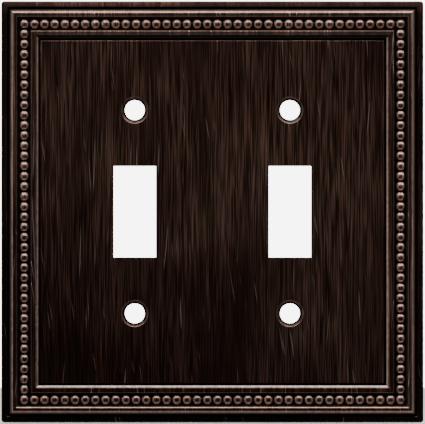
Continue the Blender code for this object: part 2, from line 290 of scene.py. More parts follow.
def square_corners(bm):
    """Draw each rounded corner of the front together into one square corner."""
    inset, height = square_corner()
    for side_x in (-1, 1):
        for side_y in (-1, 1):
            corner = Vector((side_x * (HALF_WIDTH - inset), side_y * (HALF_HEIGHT - inset), height))
            rim = front_face(bm).verts
            arc = [vert for vert in rim if (vert.co - corner).length < CORNER_RADIUS / 2]
            bmesh.ops.pointmerge(bm, verts=arc, merge_co=corner)


def plate_form():
    """The outside of the casting as a solid block, before its back is hollowed."""
    bm = bmesh.new()
    add_box(bm, (-HALF_WIDTH, -HALF_HEIGHT, 0), (HALF_WIDTH, HALF_HEIGHT, BAND_SIDE_HEIGHT))
    uprights = [edge for edge in bm.edges if abs(edge.verts[0].co.z - edge.verts[1].co.z) > 0]
    bmesh.ops.bevel(
        bm,
        geom=uprights,
        offset=CORNER_RADIUS,
        segments=CORNER_STEPS,
        profile=0.5,
        affect="EDGES",
        material=-1,
    )
    add_steps(bm, front_face(bm), band_profile())
    square_corners(bm)
    add_steps(bm, front_face(bm), border_profile())
    return loose_object("wall_plate_casting", bm)


def turned(profile, sides):
    """A bmesh of (radius, height) points spun round z and closed at both ends."""
    bm = bmesh.new()
    verts = [bm.verts.new((radius, 0, height)) for radius, height in profile]
    edges = [bm.edges.new(pair) for pair in zip(verts, verts[1:])]
    bmesh.ops.spin(
        bm, geom=verts + edges, cent=(0, 0, 0), axis=(0, 0, 1), angle=TAU, steps=sides, use_merge=True
    )
    bmesh.ops.remove_doubles(bm, verts=bm.verts, dist=MERGE_DISTANCE)
    bmesh.ops.recalc_face_normals(bm, faces=bm.faces)
    return bm


def repeat_turned(name, profile, sides, places):
    """The same turned shape at each (x, y) place, as one tool."""
    one = turned(profile, sides)
    shape = bpy.data.meshes.new(name)
    one.to_mesh(shape)
    one.free()
    bm = bmesh.new()
    for x, y in places:
        bm.from_mesh(shape)
        bmesh.ops.translate(bm, vec=(x, y, 0), verts=bm.verts[-len(shape.vertices) :])
    bpy.data.meshes.remove(shape)
    return loose_object(name, bm)


def join_shape(target, tool, operation, material):
    """Add a shape to a piece, or cut it away; the new faces take their own material."""
    tool.data.materials.append(material)
    step = target.modifiers.new(tool.name, "BOOLEAN")
    step.operation = operation
    step.solver = "EXACT"
    step.material_mode = "TRANSFER"
    step.object = tool
    bpy.context.view_layer.update()
    result = target.evaluated_get(bpy.context.evaluated_depsgraph_get())
    made = bpy.data.meshes.new_from_object(result)
    target.modifiers.clear()
    target.data = made
    bpy.data.objects.remove(tool)


RIM_WIDTH = 1.7 * MM
RIM_STEP_DEPTH = 3.0 * MM
TORUS_WALL = 1.2 * MM
CHANNEL_WALL = 0.95 * MM
FIELD_WALL = 1.9 * MM
CORE_ROUND = 0.4 * MM


def hollow_core():
    """The core that forms the open back, with a small round at each step."""
    channel_depth = CHANNEL_FLOOR - CHANNEL_WALL
    field_depth = FIELD_HEIGHT - FIELD_WALL
    field_back = groove_start - FIELD_GROOVE_WIDTH
    ledge = torus_start + TORUS_WALL
    steps = [(RIM_WIDTH, RIM_STEP_DEPTH - CORE_ROUND)]
    steps += quarter_round(steps[-1], (RIM_WIDTH + CORE_ROUND, RIM_STEP_DEPTH), 4, rising=True)
    steps += [(ledge - DRAFT, RIM_STEP_DEPTH), (ledge, channel_depth - CORE_ROUND)]
    steps += quarter_round(steps[-1], (ledge + CORE_ROUND, channel_depth), 4, rising=True)
    steps += [(field_back - DRAFT, channel_depth), (field_back, field_depth)]
    bm = bmesh.new()
    low = (-HALF_WIDTH + RIM_WIDTH, -HALF_HEIGHT + RIM_WIDTH, -EMBED)
    add_box(bm, low, (HALF_WIDTH - RIM_WIDTH, HALF_HEIGHT - RIM_WIDTH, steps[0][1]))
    add_steps(bm, front_face(bm), steps)
    return loose_object("hollow_core", bm)


GANG_SPACING = 46.04 * MM
SCREW_SPACING = 60.33 * MM
OPENING_WIDTH = 12.6 * MM
OPENING_HEIGHT = 27.1 * MM
HOLE_DIAMETER = 5.9 * MM
DISH_DIAMETER = 7.9 * MM
DISH_SLOPE_WIDTH = 0.5 * MM
DISH_DEPTH = 0.55 * MM
DISH_SEAT_DROP = 0.15 * MM
DISH_LIP = 0.12 * MM
BOSS_DIAMETER = 9.6 * MM
BOSS_SETBACK = 2.0 * MM
BOSS_CHAMFER = 0.3 * MM
BOSS_FILLET = 0.5 * MM
BOSS_SIDES = 40
HOLE_SIDES = 64
COLLAR_WALL = 1.6 * MM
COLLAR_SETBACK = 3.4 * MM
RIB_THICKNESS = 1.2 * MM
RIB_SETBACK = 3.4 * MM
RIB_EMBED = 0.2 * MM
REAR_EDGE_ROUND = 0.25 * MM
gangs = (-GANG_SPACING / 2, GANG_SPACING / 2)
hole_places = [(x, side * SCREW_SPACING / 2) for side in (1, -1) for x in gangs]


def screw_bosses():
    """Round seats behind the holes, with a chamfered rear edge and a fillet at the foot."""
    radius = BOSS_DIAMETER / 2
    foot = FIELD_HEIGHT - FIELD_WALL
    profile = [(0, BOSS_SETBACK), (radius - BOSS_CHAMFER, BOSS_SETBACK)]
    profile += [(radius, BOSS_SETBACK + BOSS_CHAMFER), (radius, foot - BOSS_FILLET)]
    fillet_end = (radius + BOSS_FILLET, foot + 2 * TOOL_OVERLAP)
    profile += quarter_round(profile[-1], fillet_end, 4, rising=False)
    profile += [(radius + BOSS_FILLET, foot + EMBED), (0, foot + EMBED)]
    return repeat_turned("screw_bosses", profile, BOSS_SIDES, hole_places)


def round_rear_edges(bm, setback):
    """Round the edges of a box that face the wall."""
    reach = setback + EMBED / 2
    rear = [edge for edge in bm.edges if max(vert.co.z for vert in edge.verts) < reach]
    bmesh.ops.bevel(
        bm, geom=rear, offset=REAR_EDGE_ROUND, segments=3, profile=0.5, affect="EDGES", material=-1
    )


def opening_collars():
    """Stiffening walls behind the edges of the toggle openings."""
    bm = bmesh.new()
    for x in gangs:
        half_width = OPENING_WIDTH / 2 + COLLAR_WALL
        half_height = OPENING_HEIGHT / 2 + COLLAR_WALL
        front = FIELD_HEIGHT - FIELD_WALL + EMBED
        low = (x - half_width, -half_height, COLLAR_SETBACK)
        add_box(bm, low, (x + half_width, half_height, front))
    round_rear_edges(bm, COLLAR_SETBACK)
    return loose_object("opening_collars", bm)


def rib(name, low_x, high_x, low_y, high_y):
    """A stiffening wall that runs into the ceiling of the hollow."""
    bm = bmesh.new()
    front = CHANNEL_FLOOR - CHANNEL_WALL + RIB_EMBED
    add_box(bm, (low_x, low_y, RIB_SETBACK), (high_x, high_y, front))
    round_rear_edges(bm, RIB_SETBACK)
    return loose_object(name, bm)


def opening_cut():
    """The toggle openings, straight through the field."""
    bm = bmesh.new()
    for x in gangs:
        low = (x - OPENING_WIDTH / 2, -OPENING_HEIGHT / 2, -EMBED)
        add_box(bm, low, (x + OPENING_WIDTH / 2, OPENING_HEIGHT / 2, TORUS_HEIGHT + EMBED))
    return loose_object("opening_cut", bm)


def screw_hole_cut():
    """The screw holes: each a rounded lip, a short slope, a shallow seat and a plain bore."""
    dish = DISH_DIAMETER / 2
    bore = HOLE_DIAMETER / 2
    seat = FIELD_HEIGHT - DISH_DEPTH
    profile = [(0, -EMBED), (bore + BOSS_CHAMFER, -EMBED), (bore + BOSS_CHAMFER, BOSS_SETBACK)]
    profile += [(bore, BOSS_SETBACK + BOSS_CHAMFER), (bore, seat - DISH_SEAT_DROP)]
    profile += quarter_round(profile[-1], (dish - DISH_SLOPE_WIDTH, seat), 5, rising=True)
    profile += [(dish - DISH_LIP, FIELD_HEIGHT - 1.4 * DISH_LIP)]
    lip_end = (dish + DISH_LIP, FIELD_HEIGHT + TOOL_OVERLAP)
    profile += quarter_round(profile[-1], lip_end, 4, rising=True)
    profile += [(dish + DISH_LIP, FIELD_HEIGHT + EMBED), (0, FIELD_HEIGHT + EMBED)]
    return repeat_turned("screw_hole_cut", profile, HOLE_SIDES, hole_places)


BEAD_RADIUS = 1.4 * MM
BEAD_FOOT = 0.3 * MM
BEAD_RISE = 0.75 * MM
BEAD_SINK = 0.2 * MM
BEAD_PITCH = 3.02 * MM
BEAD_RINGS = 4
BEAD_SIDES = 12
bead_top = CHANNEL_FLOOR + BEAD_FOOT + BEAD_RISE


def bead_places():
    """Centres of the beads round the channel, one at each corner."""
    half_width = HALF_WIDTH - channel_start - CHANNEL_WIDTH / 2
    half_height = HALF_HEIGHT - channel_start - CHANNEL_WIDTH / 2
    across = round(2 * half_width / BEAD_PITCH)
    up = round(2 * half_height / BEAD_PITCH)
    for step in range(across):
        x = -half_width + 2 * half_width * step / across
        yield x, half_height
        yield -x, -half_height
    for step in range(up):
        y = -half_height + 2 * half_height * step / up
        yield -half_width, y
        yield half_width, -y


def bead_row():
    """Low domes on short feet that stand in the channel floor, a few dozen faces each."""
    sphere = (BEAD_RADIUS**2 + BEAD_RISE**2) / (2 * BEAD_RISE)
    rim_angle = math.asin(BEAD_RADIUS / sphere)
    profile = [(0, CHANNEL_FLOOR - BEAD_SINK), (BEAD_RADIUS, CHANNEL_FLOOR - BEAD_SINK)]
    for ring in range(BEAD_RINGS + 1):
        turn = rim_angle * (1 - ring / BEAD_RINGS)
        profile.append((sphere * math.sin(turn), bead_top - sphere * (1 - math.cos(turn))))
    return repeat_turned("bead_row", profile, BEAD_SIDES, bead_places())


EJECTOR_RADIUS = 2.4 * MM
EJECTOR_DEPTH = 0.12 * MM
EJECTOR_SIDES = 32
EJECTOR_COLUMNS = (-44 * MM, -8 * MM, 8 * MM, 44 * MM)
EJECTOR_ROWS = (-40 * MM, 40 * MM)


def ejector_marks():
    """Shallow round marks that the ejector pins leave on the back of the field."""
    depth = FIELD_HEIGHT - FIELD_WALL
    profile = [(0, depth - EMBED), (EJECTOR_RADIUS, depth - EMBED)]
    profile += [(EJECTOR_RADIUS, depth + EJECTOR_DEPTH), (0, depth + EJECTOR_DEPTH)]
    places = [(x, y) for x in EJECTOR_COLUMNS for y in EJECTOR_ROWS]
    return repeat_turned("ejector_marks", profile, EJECTOR_SIDES, places)


def calculate(tree, operation, first, second=None, third=None, clamp=False):
    """One Math node; its inputs are sockets or numbers."""
    made = tree.nodes.new("ShaderNodeMath")
    made.operation = operation
    made.use_clamp = clamp
    for slot, value in zip(made.inputs, (first, second, third)):
        if isinstance(value, bpy.types.NodeSocket):
            tree.links.new(value, slot)
        elif value is not None:
            slot.default_value = value
    return made.outputs[0]


def blend_colour(tree, factor, first, second, kind="MIX"):
    """Mix two colours, each a socket or an RGB value."""
    made = tree.nodes.new("ShaderNodeMix")
    made.data_type = "RGBA"
    made.blend_type = kind
    for slot, value in ((made.inputs[0], factor), (made.inputs[6], first), (made.inputs[7], second)):
        if isinstance(value, bpy.types.NodeSocket):
            tree.links.new(value, slot)
        elif isinstance(value, tuple):
            slot.default_value = (*value, 1.0)
        else:
            slot.default_value = value
    return made.outputs[2]


def ease(tree, value, start, end):
    """0 at start, 1 at end, with a smooth step between."""
    made = tree.nodes.new("ShaderNodeMapRange")
    made.interpolation_type = "SMOOTHSTEP"
    tree.links.new(value, made.inputs["Value"])
    made.inputs["From Min"].default_value = start
    made.inputs["From Max"].default_value = end
    return made.outputs["Result"]


def between(tree, value, start, end, soft):
    """1 from start to end and 0 outside, with soft ends."""
    risen = ease(tree, value, start - soft, start + soft)
    fallen = calculate(tree, "SUBTRACT", 1.0, ease(tree, value, end - soft, end + soft))
    return calculate(tree, "MULTIPLY", risen, fallen)


def strongest(tree, *masks):
    """The highest of several masks."""
    result = masks[0]
    for mask in masks[1:]:
        result = calculate(tree, "MAXIMUM", result, mask)
    return result


def new_group(name, inputs, outputs):
    """An empty node group with named sockets."""
    tree = bpy.data.node_groups.new(name, "ShaderNodeTree")
    for label, kind, value in inputs:
        socket = tree.interface.new_socket(name=label, in_out="INPUT", socket_type=kind)
        if value is not None:
            socket.default_value = value
    for label in outputs:
        tree.interface.new_socket(name=label, in_out="OUTPUT", socket_type="NodeSocketFloat")
    return tree, tree.nodes.new("NodeGroupInput").outputs, tree.nodes.new("NodeGroupOutput").inputs


def noise(tree, vector, scale, detail, roughness=0.5):
    """Noise from 0 to 1, most of it near 0.5."""
    made = tree.nodes.new("ShaderNodeTexNoise")
    made.inputs["Scale"].default_value = scale
    made.inputs["Detail"].default_value = detail
    made.inputs["Roughness"].default_value = roughness
    tree.links.new(vector, made.inputs["Vector"])
    return made.outputs["Fac"]


def mapped(tree, vector, scale, turn=(0, 0, 0), place=(0, 0, 0)):
    """The same coordinates turned and squeezed, so that noise read from them comes out as streaks."""
    made = tree.nodes.new("ShaderNodeMapping")
    made.inputs["Scale"].default_value = scale
    made.inputs["Rotation"].default_value = turn
    made.inputs["Location"].default_value = place
    tree.links.new(vector, made.inputs["Vector"])
    return made.outputs["Vector"]


def scaled_input(tree, given):
    """A group's own coordinates, scaled by its fineness."""
    made = tree.nodes.new("ShaderNodeVectorMath")
    made.operation = "SCALE"
    tree.links.new(given["Vector"], made.inputs[0])
    tree.links.new(given["Fineness"], made.inputs["Scale"])
    return made.outputs["Vector"]


DRIFT_SCALE = 0.045
SWAY = (0.8, 0, 0)
HAIR_SQUEEZE = (3.8, 0.6, 0.07)
STREAK_SQUEEZE = (0.6, 0.3, 0.03)
PATCH_SQUEEZE = (0.07, 0.1, 0.022)
SCRATCH_ACROSS = 2.3
SCRATCH_OUTWARD = 0.4
# Each family of scratches: its lean in degrees, its squeeze lengthways and its place in the noise.
SCRATCH_FAMILIES = ((2.5, 0.05, 11.0), (-5.0, 0.045, 47.0), (9.0, 0.06, 83.0), (-1.5, 0.035, 131.0))


def brush_marks_group():
    """Upright brushing: close fine hairlines, broader streaks behind them and leaning scratches."""
    tree, given, result = new_group(
        "brush_marks",
        [("Vector", "NodeSocketVector", None), ("Fineness", "NodeSocketFloat", 1.0)],
        ["Streaks", "Scratches", "Height"],
    )
    vector = scaled_input(tree, given)
    drift = tree.nodes.new("ShaderNodeTexNoise")
    drift.inputs["Scale"].default_value = DRIFT_SCALE
    drift.inputs["Detail"].default_value = 2.0
    tree.links.new(vector, drift.inputs["Vector"])
    sway = tree.nodes.new("ShaderNodeVectorMath")
    sway.operation = "MULTIPLY_ADD"
    tree.links.new(drift.outputs["Color"], sway.inputs[0])
    sway.inputs[1].default_value = SWAY
    tree.links.new(vector, sway.inputs[2])
    swayed = sway.outputs["Vector"]
    fine = noise(tree, mapped(tree, swayed, HAIR_SQUEEZE), 1.0, 1.0, 0.6)
    broad = noise(tree, mapped(tree, swayed, STREAK_SQUEEZE), 1.0, 2.0, 0.5)
    patch = noise(tree, mapped(tree, vector, PATCH_SQUEEZE), 1.0, 2.0, 0.5)
    hairs = calculate(tree, "MULTIPLY", ease(tree, fine, 0.4, 0.68), ease(tree, patch, 0.2, 0.62))
    behind = calculate(tree, "MULTIPLY", ease(tree, broad, 0.3, 0.7), 0.12)
    streaks = calculate(tree, "MULTIPLY_ADD", hairs, 0.72, behind)
    marks = []
    for lean, lengthways, place in SCRATCH_FAMILIES:
        leaning = mapped(tree, vector, (1, 1, 1), (0, math.radians(lean), 0))
        squeeze = (SCRATCH_ACROSS, SCRATCH_OUTWARD, lengthways)
        line = noise(tree, mapped(tree, leaning, squeeze, (0, 0, 0), (place, 0, place)), 1.0, 0.0)
        marks.append(ease(tree, line, 0.79, 0.85))
    scratches = strongest(tree, *marks)
    height = calculate(tree, "MULTIPLY_ADD", scratches, -0.35, fine)
    tree.links.new(streaks, result["Streaks"])
    tree.links.new(scratches, result["Scratches"])
    tree.links.new(height, result["Height"])
    return tree


def patina_group():
    """Cloudy variation left by the dark chemical finish, a finer mottle and a fine grain."""
    tree, given, result = new_group(
        "patina",
        [("Vector", "NodeSocketVector", None), ("Fineness", "NodeSocketFloat", 1.0)],
        ["Cloud", "Mottle", "Grain"],
    )
    vector = scaled_input(tree, given)
    tree.links.new(ease(tree, noise(tree, vector, 0.05, 3.0, 0.55), 0.3, 0.7), result["Cloud"])
    tree.links.new(ease(tree, noise(tree, vector, 0.7, 3.0, 0.6), 0.35, 0.65), result["Mottle"])
    tree.links.new(noise(tree, vector, 3.0, 4.0, 0.7), result["Grain"])
    return tree


def rubbing_group():
    """How far the finish is rubbed through: strong on worn edges, broken up by the patina."""
    edge = ("Edge", "NodeSocketFloat", 0.0)
    mottle = ("Mottle", "NodeSocketFloat", 0.5)
    grain = ("Grain", "NodeSocketFloat", 0.5)
    tree, given, result = new_group("rubbing", [edge, mottle, grain], ["Rubbed"])
    patchy = calculate(tree, "MULTIPLY_ADD", given["Grain"], 1.1, -0.1)
    patchy = calculate(tree, "MULTIPLY_ADD", given["Mottle"], 0.45, patchy, clamp=True)
    tree.links.new(calculate(tree, "MULTIPLY", given["Edge"], patchy, clamp=True), result["Rubbed"])
    return tree


brush_marks = brush_marks_group()
patina = patina_group()
rubbing = rubbing_group()


def place_group(tree, group, **values):
    """One use of a node group; its inputs are sockets or numbers."""
    made = tree.nodes.new("ShaderNodeGroup")
    made.node_tree = group
    for name, value in values.items():
        if isinstance(value, bpy.types.NodeSocket):
            tree.links.new(value, made.inputs[name])
        else:
            made.inputs[name].default_value = value
    return made.outputs


def millimetres(tree):
    """Object coordinates in millimetres."""
    coordinates = tree.nodes.new("ShaderNodeTexCoord")
    return mapped(tree, coordinates.outputs["Object"], (1 / MM, 1 / MM, 1 / MM))


def stored(tree, name):
    """A value stored on the mesh by mark_wear."""
    made = tree.nodes.new("ShaderNodeAttribute")
    made.attribute_name = name
    return made.outputs["Fac"]


LACQUER_ROUGHNESS = 0.16
LACQUER_IOR = 1.5


def metal(name, coat):
    """A bare metal material under a clear coat of the given weight."""
    material = bpy.data.materials.new(name)
    material.use_nodes = True
    shader = material.node_tree.nodes["Principled BSDF"]
    shader.inputs["Metallic"].default_value = 1.0
    shader.inputs["Coat Weight"].default_value = coat
    shader.inputs["Coat Roughness"].default_value = LACQUER_ROUGHNESS
    shader.inputs["Coat IOR"].default_value = LACQUER_IOR
    return material, material.node_tree, shader


def raise_surface(tree, shader, height, distance):
    """Bump by a height of 0 to 1 over the given distance."""
    bump = tree.nodes.new("ShaderNodeBump")
    bump.inputs["Strength"].default_value = 1.0
    bump.inputs["Distance"].default_value = distance
    tree.links.new(height, bump.inputs["Height"])
    tree.links.new(bump.outputs["Normal"], shader.inputs["Normal"])


LACQUER = 0.6
DARK_BROWN = (0.085, 0.036, 0.021)
BRUSHED_BROWN = (0.56, 0.345, 0.27)
CLOUDED = (0.8, 0.74, 0.72)
UNTOUCHED = (1.0, 1.0, 1.0)
# Near-black that paints shade on the band and beside the mouldings.
PAINTED_SHADE = (0.014, 0.007, 0.005)
# These two paint shade on the field: darker towards the lower left and a little towards the top.
SHADE_LOW_LEFT = (0.36, 0.26, 0.26)
SHADE_NEAR_TOP = (0.76, 0.72, 0.72)
SCRATCHED = (0.78, 0.6, 0.54)
# Copper where rubbed; the same colour also paints highlights where light falls.
COPPER_WEAR_AND_HIGHLIGHT = (0.4, 0.28, 0.24)
# Black in the recesses: partly patina, partly painted shade.
RECESS_PATINA_AND_SHADE = (0.012, 0.008, 0.007)


def plate_zones(tree, vector):
    """Where a point is on the front: distances in millimetres, and masks for parts of the border.

    The shaded slope is the slope under the top moulding, which faces down; its dark colour is painted
    shade.
    """
    axes = tree.nodes.new("ShaderNodeSeparateXYZ")
    tree.links.new(vector, axes.inputs[0])
    across, outward, up = axes.outputs
    from_middle = calculate(tree, "ABSOLUTE", across)
    from_centre = calculate(tree, "ABSOLUTE", up)
    from_side = calculate(tree, "SUBTRACT", HALF_WIDTH / MM, from_middle)
    from_end = calculate(tree, "SUBTRACT", HALF_HEIGHT / MM, from_centre)
    inward = calculate(tree, "MINIMUM", from_side, from_end)
    beside_hole = calculate(tree, "SUBTRACT", from_middle, GANG_SPACING / 2 / MM)
    above_hole = calculate(tree, "SUBTRACT", from_centre, SCREW_SPACING / 2 / MM)
    beside_hole = calculate(tree, "POWER", beside_hole, 2.0)
    above_hole = calculate(tree, "POWER", above_hole, 2.0)
    side_rail = calculate(tree, "LESS_THAN", from_side, from_end)
    end_rail = calculate(tree, "SUBTRACT", 1.0, side_rail)
    top_rail = calculate(tree, "MULTIPLY", end_rail, calculate(tree, "GREATER_THAN", up, 0.0))
    slope = between(tree, inward, slope_start / MM, groove_start / MM, 0.1)
    past_band = ease(tree, inward, torus_start / MM, torus_start / MM + 0.3)
    return {
        "across": across,
        "up": up,
        "height": calculate(tree, "MULTIPLY", outward, -1.0),
        "inward": inward,
        "from_hole": calculate(tree, "SQRT", calculate(tree, "ADD", beside_hole, above_hole)),
        "side_rail": side_rail,
        "top_rail": top_rail,
        "bottom_rail": calculate(tree, "MULTIPLY", end_rail, calculate(tree, "LESS_THAN", up, 0.0)),
        "band": calculate(tree, "SUBTRACT", 1.0, past_band),
        "inner_flank": between(tree, inward, torus_crest / MM + 0.1, channel_start / MM, 0.1),
        "channel": between(tree, inward, channel_start / MM, moulding_start / MM, 0.08),
        "outer_edge": between(tree, inward, moulding_start / MM, moulding_edge / MM + 0.1, 0.1),
        "moulding_top": between(tree, inward, moulding_edge / MM, slope_start / MM, 0.1),
        "slope": slope,
        # The slope under the top moulding, painted dark as shade.
        "shaded_slope": calculate(tree, "MULTIPLY", slope, top_rail),
    }


def black_patina_and_shade(tree, zones, on_bead):
    """1 where the face is black: the channel floor, both grooves and the seats of the holes; partly
    the dark patina that stays in the hollows, partly painted shade.

    The shaded slope is nearly as black, which is painted shade.
    """
    between_beads = calculate(tree, "SUBTRACT", 1.0, on_bead)
    dish = DISH_DIAMETER / 2 / MM
    past_seat = ease(tree, zones["from_hole"], dish - 0.6, dish - 0.4)
    return strongest(
        tree,
        calculate(tree, "MULTIPLY", zones["shaded_slope"], 0.8),
        calculate(tree, "MULTIPLY", zones["channel"], between_beads),
        between(tree, zones["inward"], BAND_WIDTH / MM, torus_start / MM + 0.42, 0.14),
        between(tree, zones["inward"], groove_start / MM, groove_end / MM, 0.06),
        calculate(tree, "SUBTRACT", 1.0, past_seat),
    )


def wear_and_painted_highlights(tree, zones, on_bead):
    """How far each place is rubbed to copper, from its part of the border and how sharp its edges are.

    Part of it is painted highlight: the top rail's band and moulding top, a ring round each bead
    with a darker crown, the slopes of the side and bottom rails and the bottom rail's inner flank.
    """
    dish = DISH_DIAMETER / 2 / MM
    # Painted highlight: a ring round each bead, its crown left darker.
    bead_crown = ease(tree, zones["height"], bead_top / MM - 0.3, bead_top / MM - 0.05)
    bead_highlight_ring = calculate(tree, "MULTIPLY_ADD", bead_crown, -0.65, 0.85)
    bead_highlight_ring = calculate(tree, "MULTIPLY", bead_highlight_ring, on_bead)
    band = calculate(tree, "MULTIPLY", zones["band"], 0.25)
    band_and_moulding_top = calculate(tree, "MAXIMUM", band, zones["moulding_top"])
    flank = between(tree, zones["inward"], torus_start / MM + 0.55, torus_crest / MM - 0.5, 0.2)
    # Painted highlight on the slope of the side and bottom rails, which faces the light; none on the
    # top rail.
    slope_highlight_share = calculate(tree, "MULTIPLY_ADD", zones["top_rail"], -0.9, 0.9)
    # Painted highlights: the top rail's band and moulding top, the bead rings, the slopes and the
    # bottom rail's inner flank. Worn copper: the torus flank and the lip of each screw hole, all round.
    ridges_and_painted_highlights = strongest(
        tree,
        calculate(tree, "MULTIPLY", band_and_moulding_top, calculate(tree, "MULTIPLY", zones["top_rail"], 0.6)),
        calculate(tree, "MULTIPLY", zones["channel"], bead_highlight_ring),
        calculate(tree, "MULTIPLY", flank, 0.55),
        calculate(tree, "MULTIPLY", zones["slope"], slope_highlight_share),
        calculate(tree, "MULTIPLY", zones["inner_flank"], zones["bottom_rail"]),
        between(tree, zones["from_hole"], dish - 0.45, dish, 0.08),
    )
    edge = calculate(tree, "MAXIMUM", ridges_and_painted_highlights, calculate(tree, "MULTIPLY", stored(tree, "wear"), 0.6))
    return calculate(tree, "MULTIPLY", edge, calculate(tree, "SUBTRACT", 1.0, zones["shaded_slope"]))


def brushed_brown_and_painted_shade(tree, zones, marks, clouds):
    """The brown under the wear, with painted shade: darker on the band, except at its top, and beside
    the mouldings.

    Painted shade deepens it towards the lower left of the plate and a little towards the top.
    """
    brown = blend_colour(tree, marks["Streaks"], DARK_BROWN, BRUSHED_BROWN)
    cloudy = blend_colour(tree, clouds["Cloud"], CLOUDED, UNTOUCHED)
    brown = blend_colour(tree, 1.0, brown, cloudy, "MULTIPLY")
    # Painted shade: the band goes dark on the sides and bottom; its top, where the overhead light
    # falls, stays bright.
    near_top = ease(tree, zones["up"], HALF_HEIGHT / MM - 4, HALF_HEIGHT / MM - 2)
    below_top = calculate(tree, "SUBTRACT", 1.0, near_top)
    band_painted_shade = calculate(tree, "MULTIPLY", zones["band"], calculate(tree, "MULTIPLY", below_top, 0.7))
    brown = blend_colour(tree, band_painted_shade, brown, PAINTED_SHADE)
    # Painted shade beside the mouldings: the flanks on the side rails, the moulding's outer edge all
    # round, and the downward-facing slope under the top moulding.
    side_flank_shade = strongest(tree, zones["inner_flank"], zones["outer_edge"])
    side_flank_shade = calculate(tree, "MULTIPLY", side_flank_shade, zones["side_rail"])
    painted_shade_mask = strongest(
        tree,
        calculate(tree, "MULTIPLY", side_flank_shade, 0.75),
        calculate(tree, "MULTIPLY", zones["outer_edge"], 0.4),
        calculate(tree, "MULTIPLY", zones["shaded_slope"], 0.95),
    )
    brown = blend_colour(tree, painted_shade_mask, brown, PAINTED_SHADE)
    # Painted shade: the field darkens towards the lower left of the plate and a little towards the top.
    rise = calculate(tree, "MULTIPLY", zones["up"], 0.01)
    rise = calculate(tree, "MULTIPLY_ADD", zones["across"], 0.006, rise)
    depth = blend_colour(tree, ease(tree, rise, -0.8, 0.15), SHADE_LOW_LEFT, UNTOUCHED)
    depth = blend_colour(tree, ease(tree, zones["up"], -5, 50), depth, SHADE_NEAR_TOP)
    return blend_colour(tree, 1.0, brown, depth, "MULTIPLY")


def brushed_bronze():
    """Dark bronze plate under lacquer, brushed upright, black in recesses and coppery where rubbed,
    with painted shade and painted highlights in its colour.
    """
    material, tree, shader = metal("brushed_bronze", LACQUER)
    vector = millimetres(tree)
    zones = plate_zones(tree, vector)
    marks = place_group(tree, brush_marks, Vector=vector, Fineness=1.0)
    clouds = place_group(tree, patina, Vector=vector, Fineness=1.0)
    on_bead = ease(tree, zones["height"], CHANNEL_FLOOR / MM, CHANNEL_FLOOR / MM + 0.25)
    # black: 1 in the recesses, partly patina and partly painted shade.
    black = black_patina_and_shade(tree, zones, on_bead)
    # edge: worn edges together with painted highlights.
    edge = wear_and_painted_highlights(tree, zones, on_bead)
    rubbed = place_group(tree, rubbing, Edge=edge, Mottle=clouds["Mottle"], Grain=clouds["Grain"])

    brown = brushed_brown_and_painted_shade(tree, zones, marks, clouds)
    facing = ease(tree, stored(tree, "front"), 0.6, 0.95)
    scratches = calculate(tree, "MULTIPLY", marks["Scratches"], facing)
    scratched = blend_colour(tree, calculate(tree, "MULTIPLY", scratches, 0.8), brown, SCRATCHED)
    # Copper where rubbed, which also paints highlights where light falls.
    copper_and_highlights = blend_colour(tree, rubbed["Rubbed"], scratched, COPPER_WEAR_AND_HIGHLIGHT)
    # Black over the recesses, partly patina and partly painted shade.
    tree.links.new(blend_colour(tree, black, copper_and_highlights, RECESS_PATINA_AND_SHADE), shader.inputs["Base Color"])

    rough = calculate(tree, "MULTIPLY_ADD", clouds["Grain"], 0.14, 0.24)
    rough = calculate(tree, "MULTIPLY_ADD", marks["Streaks"], 0.1, rough)
    rough = calculate(tree, "MULTIPLY_ADD", black, 0.35, rough, clamp=True)
    tree.links.new(rough, shader.inputs["Roughness"])
    coat = calculate(tree, "MULTIPLY_ADD", black, -0.55, LACQUER, clamp=True)
    tree.links.new(coat, shader.inputs["Coat Weight"])
    height = calculate(tree, "MULTIPLY_ADD", clouds["Grain"], 0.1, marks["Height"])
    raise_surface(tree, shader, height, 0.05 * MM)
    return material


ZINC_DARK = (0.16, 0.15, 0.15)
ZINC_PALE = (0.27, 0.26, 0.26)
PLATING_DUST = (0.05, 0.035, 0.028)
BRIGHT_ZINC = (0.5, 0.49, 0.48)
FLOW_SQUEEZE = (0.25, 0.5, 0.06)
FLOW_LEAN = math.radians(20)


def cast_back():
    """The back as it left the die: grey zinc with flow marks, dusted with dark plating."""
    material, tree, shader = metal("cast_back", 0.0)
    vector = millimetres(tree)
    clouds = place_group(tree, patina, Vector=vector, Fineness=2.0)
    flow = noise(tree, mapped(tree, vector, FLOW_SQUEEZE, (0, FLOW_LEAN, 0)), 1.0, 4.0, 0.6)
    grey = blend_colour(tree, clouds["Mottle"], ZINC_DARK, ZINC_PALE)
    dusted = calculate(tree, "MULTIPLY", clouds["Cloud"], ease(tree, flow, 0.35, 0.7))
    dusted = calculate(tree, "MULTIPLY", dusted, 0.8)
    darkened = blend_colour(tree, dusted, grey, PLATING_DUST)
    edge = stored(tree, "wear")
    rubbed = place_group(tree, rubbing, Edge=edge, Mottle=clouds["Mottle"], Grain=clouds["Grain"])
    colour = blend_colour(tree, rubbed["Rubbed"], darkened, BRIGHT_ZINC)
    tree.links.new(colour, shader.inputs["Base Color"])
    rough = calculate(tree, "MULTIPLY_ADD", clouds["Grain"], 0.25, 0.38)
    tree.links.new(rough, shader.inputs["Roughness"])
    height = calculate(tree, "MULTIPLY_ADD", clouds["Grain"], 0.5, flow)
    raise_surface(tree, shader, height, 0.08 * MM)
    return material


